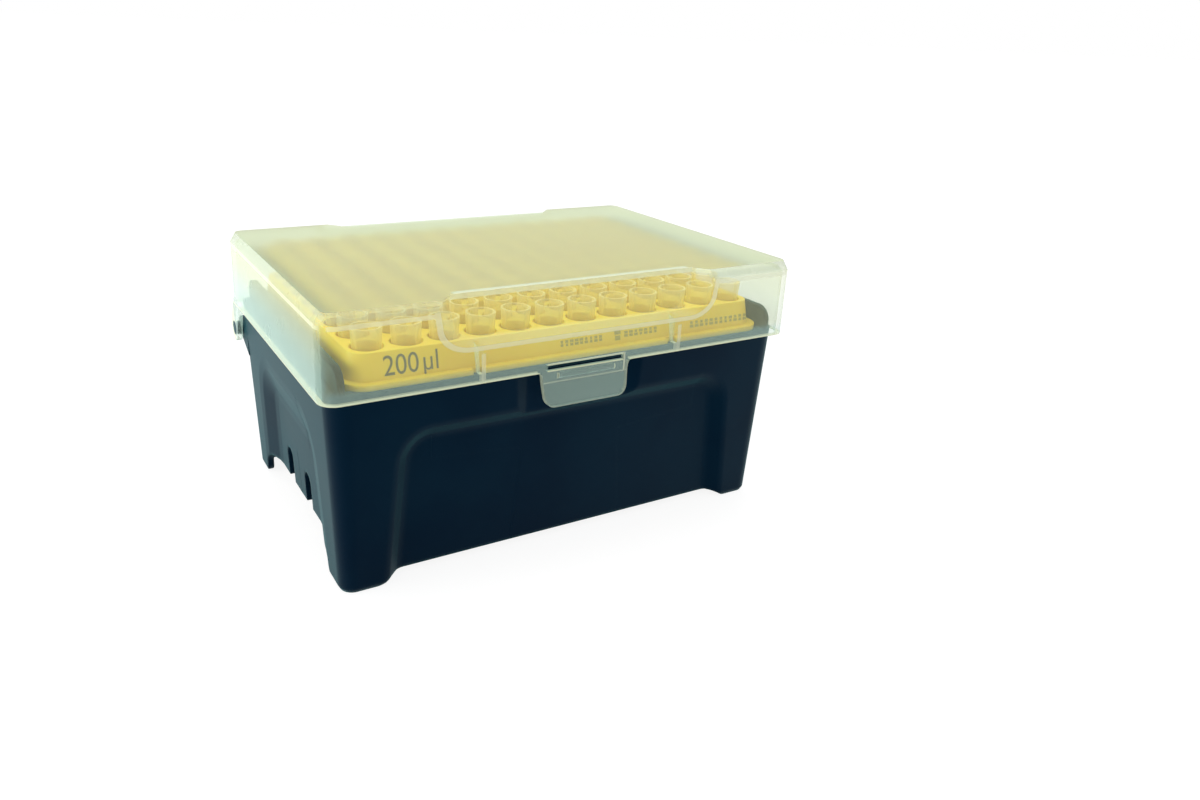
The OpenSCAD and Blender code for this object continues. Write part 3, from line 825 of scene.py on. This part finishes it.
class BarRows(Nodes):
    """A Geometry Nodes tree that lays out rows of thin bars of uneven length."""

    SHORTEST = 0.45  # a bar's length as a share of the pitch
    LONGEST = 0.9

    def __init__(self) -> None:
        """Builds the tree."""
        super().__init__(bpy.data.node_groups.new("bar_rows", "GeometryNodeTree"))
        self.sockets: dict[str, str] = {}
        self.tree.interface.new_socket("Geometry", in_out="OUTPUT", socket_type="NodeSocketGeometry")
        for name, kind in (
            ("Columns", "Int"), ("Rows", "Int"), ("Width", "Float"), ("Height", "Float"),
            ("Bar Height", "Float"), ("Thickness", "Float"), ("Seed", "Int"), ("Finish", "Material"),
        ):
            socket = self.tree.interface.new_socket(name, in_out="INPUT", socket_type=f"NodeSocket{kind}")
            self.sockets[name] = socket.identifier
        self.lay_out()

    def lay_out(self) -> None:
        """Links the nodes: a grid of points, a bar on each point, and one mesh at the end."""
        given = self.node("NodeGroupInput").outputs
        grid = self.node("GeometryNodeMeshGrid", None, {
            "Size X": given["Width"], "Size Y": given["Height"],
            "Vertices X": given["Columns"], "Vertices Y": given["Rows"],
        })
        pitch = self.node("ShaderNodeMath", {"operation": "DIVIDE"}, {0: given["Width"], 1: given["Columns"]})
        size = self.node("ShaderNodeCombineXYZ", None, {
            0: pitch.outputs[0], 1: given["Bar Height"], 2: given["Thickness"],
        })
        bar = self.node("GeometryNodeMeshCube", None, {"Size": size.outputs[0]})
        length = self.node("FunctionNodeRandomValue", {"data_type": "FLOAT"}, {
            2: self.SHORTEST, 3: self.LONGEST, "Seed": given["Seed"],
        })
        stretch = self.node("ShaderNodeCombineXYZ", None, {0: length.outputs[1], 1: 1.0, 2: 1.0})
        bars = self.node("GeometryNodeInstanceOnPoints", None, {
            "Points": grid.outputs["Mesh"], "Instance": bar.outputs["Mesh"], "Scale": stretch.outputs[0],
        })
        solid = self.node("GeometryNodeRealizeInstances", None, {0: bars.outputs[0]})
        painted = self.node("GeometryNodeSetMaterial", None, {
            "Geometry": solid.outputs[0], "Material": given["Finish"],
        })
        self.node("NodeGroupOutput", None, {0: painted.outputs[0]})

    def mesh(self, name: str, **inputs: object) -> bpy.types.Mesh:
        """Runs the tree once.

        Args:
            name: the mesh's name.
            inputs: the tree's inputs, with underscores for spaces.

        Returns:
            The bars as one mesh, lying flat round the origin.
        """
        carrier = in_scene(name, bpy.data.meshes.new(name))
        modifier = carrier.modifiers.new("rows", "NODES")
        modifier.node_group = self.tree
        for key, given in inputs.items():
            modifier[self.sockets[key.replace("_", " ")]] = given
        return plain_mesh(carrier)


@dataclass(frozen=True)
class Skirt:
    """The rack's leaning front face, on which the print lies."""

    front: float = -36.4
    deck: float = 56.2
    lean: float = math.atan(1.4 / 7.3)  # 1.4 mm outwards over 7.3 mm down
    thickness: float = 0.03

    def onto(self, mesh: bpy.types.Mesh, left: float, foot: float, width_scale: float = 1.0) -> None:
        """Lays a flat mesh on the face.

        Args:
            mesh: the mesh, drawn in the XY plane.
            left: where its origin goes along the length.
            foot: the height its origin goes to.
            width_scale: how much it is stretched along the length.
        """
        foot_y = self.front - (self.deck - foot) * math.tan(self.lean)
        turn = Matrix.Rotation(math.pi / 2 - self.lean, 4, "X")
        place = Matrix.Translation((left * MM, (foot_y - RACK_OFFSET - self.thickness) * MM, foot * MM))
        mesh.transform(place @ turn @ Matrix.Diagonal((width_scale, 1.0, 1.0, 1.0)))


@dataclass(frozen=True)
class BarBlock:
    """A block of rows of bars: its middle and its size in millimetres, and how many bars it has."""

    middle: float
    height: float
    width: float
    gap: float
    columns: int
    rows: int = 2


@dataclass(frozen=True)
class Print:
    """The print on the front of the rack: a plain volume mark, and rows of bars where the other print is."""

    words: str = "200 µl"
    height: float = 4.4
    size_for_height: float = 1.43  # the font's size for a height of 1
    width_scale: float = 0.88
    word_gap: float = 0.3
    left: float = -48.0
    foot: float = 51.0
    faint: Colour = (0.33, 0.28, 0.06)
    bar_share: float = 0.8
    skirt: Skirt = Skirt()
    blocks: tuple[BarBlock, ...] = (
        BarBlock(middle=1.4, height=52.2, width=10.8, gap=0.8, columns=9),
        BarBlock(middle=11.7, height=52.3, width=2.7, gap=1.4, columns=1),
        BarBlock(middle=18.6, height=52.3, width=8.8, gap=0.8, columns=7),
        BarBlock(middle=43.2, height=52.2, width=17.6, gap=0.9, columns=12),
    )

    def volume_mark(self) -> bpy.types.Mesh:
        """Makes the volume mark.

        Returns:
            The mark as a thin mesh on the skirt.
        """
        curve = bpy.data.curves.new("volume_mark", "FONT")
        curve.body = self.words
        curve.size = self.height * self.size_for_height * MM
        curve.extrude = self.skirt.thickness * MM / 2
        curve.space_word = self.word_gap
        mesh = plain_mesh(in_scene("volume_mark_text", curve))
        self.skirt.onto(mesh, self.left, self.foot, self.width_scale)
        return mesh

    def place(self, name: str, mesh: bpy.types.Mesh, ink: bpy.types.Material) -> None:
        """Puts a piece of the print on the rack.

        Args:
            name: its name.
            mesh: its mesh, in the frame.
            ink: its finish.
        """
        mark = in_scene(name, mesh)
        mesh.materials.clear()
        mesh.materials.append(ink)
        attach(mark, "base")
        LOG.info("%s: %d faces", name, len(mesh.polygons))

    def build(self) -> None:
        """Makes the whole print."""
        ink, faint = Ink().build(), Ink("pale_ink", self.faint).build()
        self.place("volume_mark", self.volume_mark(), ink)
        bars = BarRows()
        for number, block in enumerate(self.blocks, 1):
            name = f"bar_rows_{number}"
            mesh = bars.mesh(
                name, Columns=block.columns, Rows=block.rows, Width=block.width * MM, Height=block.gap * MM,
                Bar_Height=block.gap * self.bar_share * MM, Thickness=self.skirt.thickness * MM,
                Seed=number, Finish=faint,
            )
            self.skirt.onto(mesh, block.middle, block.height)
            self.place(name, mesh, faint)


@dataclass(frozen=True)
class Dressing:
    """Gives each CAD node its finish."""

    base: NavyPlastic = NavyPlastic()
    rack: YellowPlastic = YellowPlastic()
    lid: MilkyPlastic = MilkyPlastic()
    tips: TipPlastic = TipPlastic()

    def build(self) -> None:
        """Assigns the materials to the nodes."""
        finishes = {
            "base": self.base.build(),
            "rack": self.rack.build(),
            "lid": self.lid.build(),
            "tips": self.tips.build(),
        }
        for name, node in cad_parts.items():
            finish = finishes[name.split("_")[0]]
            for slot in node.material_slots:
                slot.material = finish
            LOG.info("%s: %s", name, finish.name)


@dataclass(frozen=True)
class Camera:
    """The camera: where it stands, how it is turned, and its lens."""

    eye: Point = (-0.10764, -0.20581 - RACK_OFFSET * MM, 0.12016)
    yaw: float = math.radians(30.302)
    pitch: float = math.radians(22.235)
    roll: float = math.radians(2.3287)
    lens: float = 26.731
    sensor: float = 36.0
    shift: tuple[float, float] = (0.0491, -0.0049)
    nearest: float = 0.01

    def build(self) -> None:
        """Adds the camera to the scene."""
        data = bpy.data.cameras.new("camera")
        data.lens, data.sensor_width, data.clip_start = self.lens, self.sensor, self.nearest
        data.shift_x, data.shift_y = self.shift
        ahead = Vector((
            math.sin(self.yaw) * math.cos(self.pitch),
            math.cos(self.yaw) * math.cos(self.pitch),
            -math.sin(self.pitch),
        ))
        level = Vector((math.cos(self.yaw), -math.sin(self.yaw), 0.0))
        upright = level.cross(ahead)
        right = level * math.cos(self.roll) + upright * math.sin(self.roll)
        up = right.cross(ahead)
        camera = in_scene("camera", data)
        camera.matrix_world = Matrix.Translation(self.eye) @ Matrix((right, up, -ahead)).transposed().to_4x4()
        bpy.context.scene.camera = camera


@dataclass(frozen=True)
class Lamp:
    """A square soft light, with its place and width in metres and its power in watts."""

    name: str
    place: Point
    size: float
    power: float
    colour: Colour
    target: Point = (0.0, 0.0, 0.03)

    def build(self) -> None:
        """Adds the light to the scene."""
        data = bpy.data.lights.new(self.name, "AREA")
        data.size, data.energy, data.color = self.size, self.power, self.colour
        turn = (Vector(self.target) - Vector(self.place)).to_track_quat("-Z", "Y")
        in_scene(self.name, data).matrix_world = Matrix.Translation(self.place) @ turn.to_matrix().to_4x4()


@dataclass(frozen=True)
class PaleFloor:
    """Plain pale floor, which keeps a soft shadow."""

    reach: float = 30.0
    colour: Colour = (0.86, 0.86, 0.86)
    glow: float = 1.13
    glow_share: float = 0.78

    def build(self) -> None:
        """Adds the floor to the scene."""
        corners = [(x * self.reach, y * self.reach, 0.0) for x, y in ((-1, -1), (1, -1), (1, 1), (-1, 1))]
        mesh = bpy.data.meshes.new("floor")
        mesh.from_pydata(corners, [], [(0, 1, 2, 3)])
        floor = in_scene("floor", mesh)
        recipe = Recipe.material("pale_floor")
        matt = recipe.shader(Shader.DIFFUSE, {"Color": (*self.colour, 1.0)})
        white = recipe.shader(Shader.EMISSION, {"Color": (*WHITE, 1.0), "Strength": self.glow})
        mesh.materials.append(recipe.finish(recipe.blend(recipe.seen_rays() * self.glow_share, matt, white)))


@dataclass(frozen=True)
class Studio:
    """Camera, floor, surroundings and lights."""

    ambient: Colour = (0.68, 0.68, 0.68)
    lamps: tuple[Lamp, ...] = (
        Lamp("left_light", place=(-0.75, 0.15, 0.28), size=0.5, power=3.2, colour=(0.92, 1.0, 0.98)),
        Lamp("top_light", place=(0.1, 0.25, 0.85), size=0.7, power=4.0, colour=WHITE),
    )
    clear_faces: int = 32  # how many clear faces a ray may pass

    def surroundings(self) -> None:
        """Sets a plain white world that lights the part softly."""
        world = bpy.data.worlds.new("studio")
        bpy.context.scene.world = world
        recipe = Recipe(world)
        plain = recipe.shader(Shader.BACKGROUND, {"Color": (*self.ambient, 1.0)})
        white = recipe.shader(Shader.BACKGROUND, {"Color": (*WHITE, 1.0)})
        recipe.finish(recipe.blend(recipe.seen_rays(), plain, white))

    def build(self) -> None:
        """Builds the studio."""
        Camera().build()
        PaleFloor().build()
        self.surroundings()
        for lamp in self.lamps:
            lamp.build()
        bpy.context.scene.view_settings.view_transform = "Standard"
        bpy.context.scene.cycles.transparent_max_bounces = self.clear_faces


def main() -> None:
    """Builds the part's looks piece by piece."""
    logging.basicConfig(level=logging.INFO)
    Studio().build()
    Dressing().build()
    Print().build()


if __name__ == "__main__":
    main()
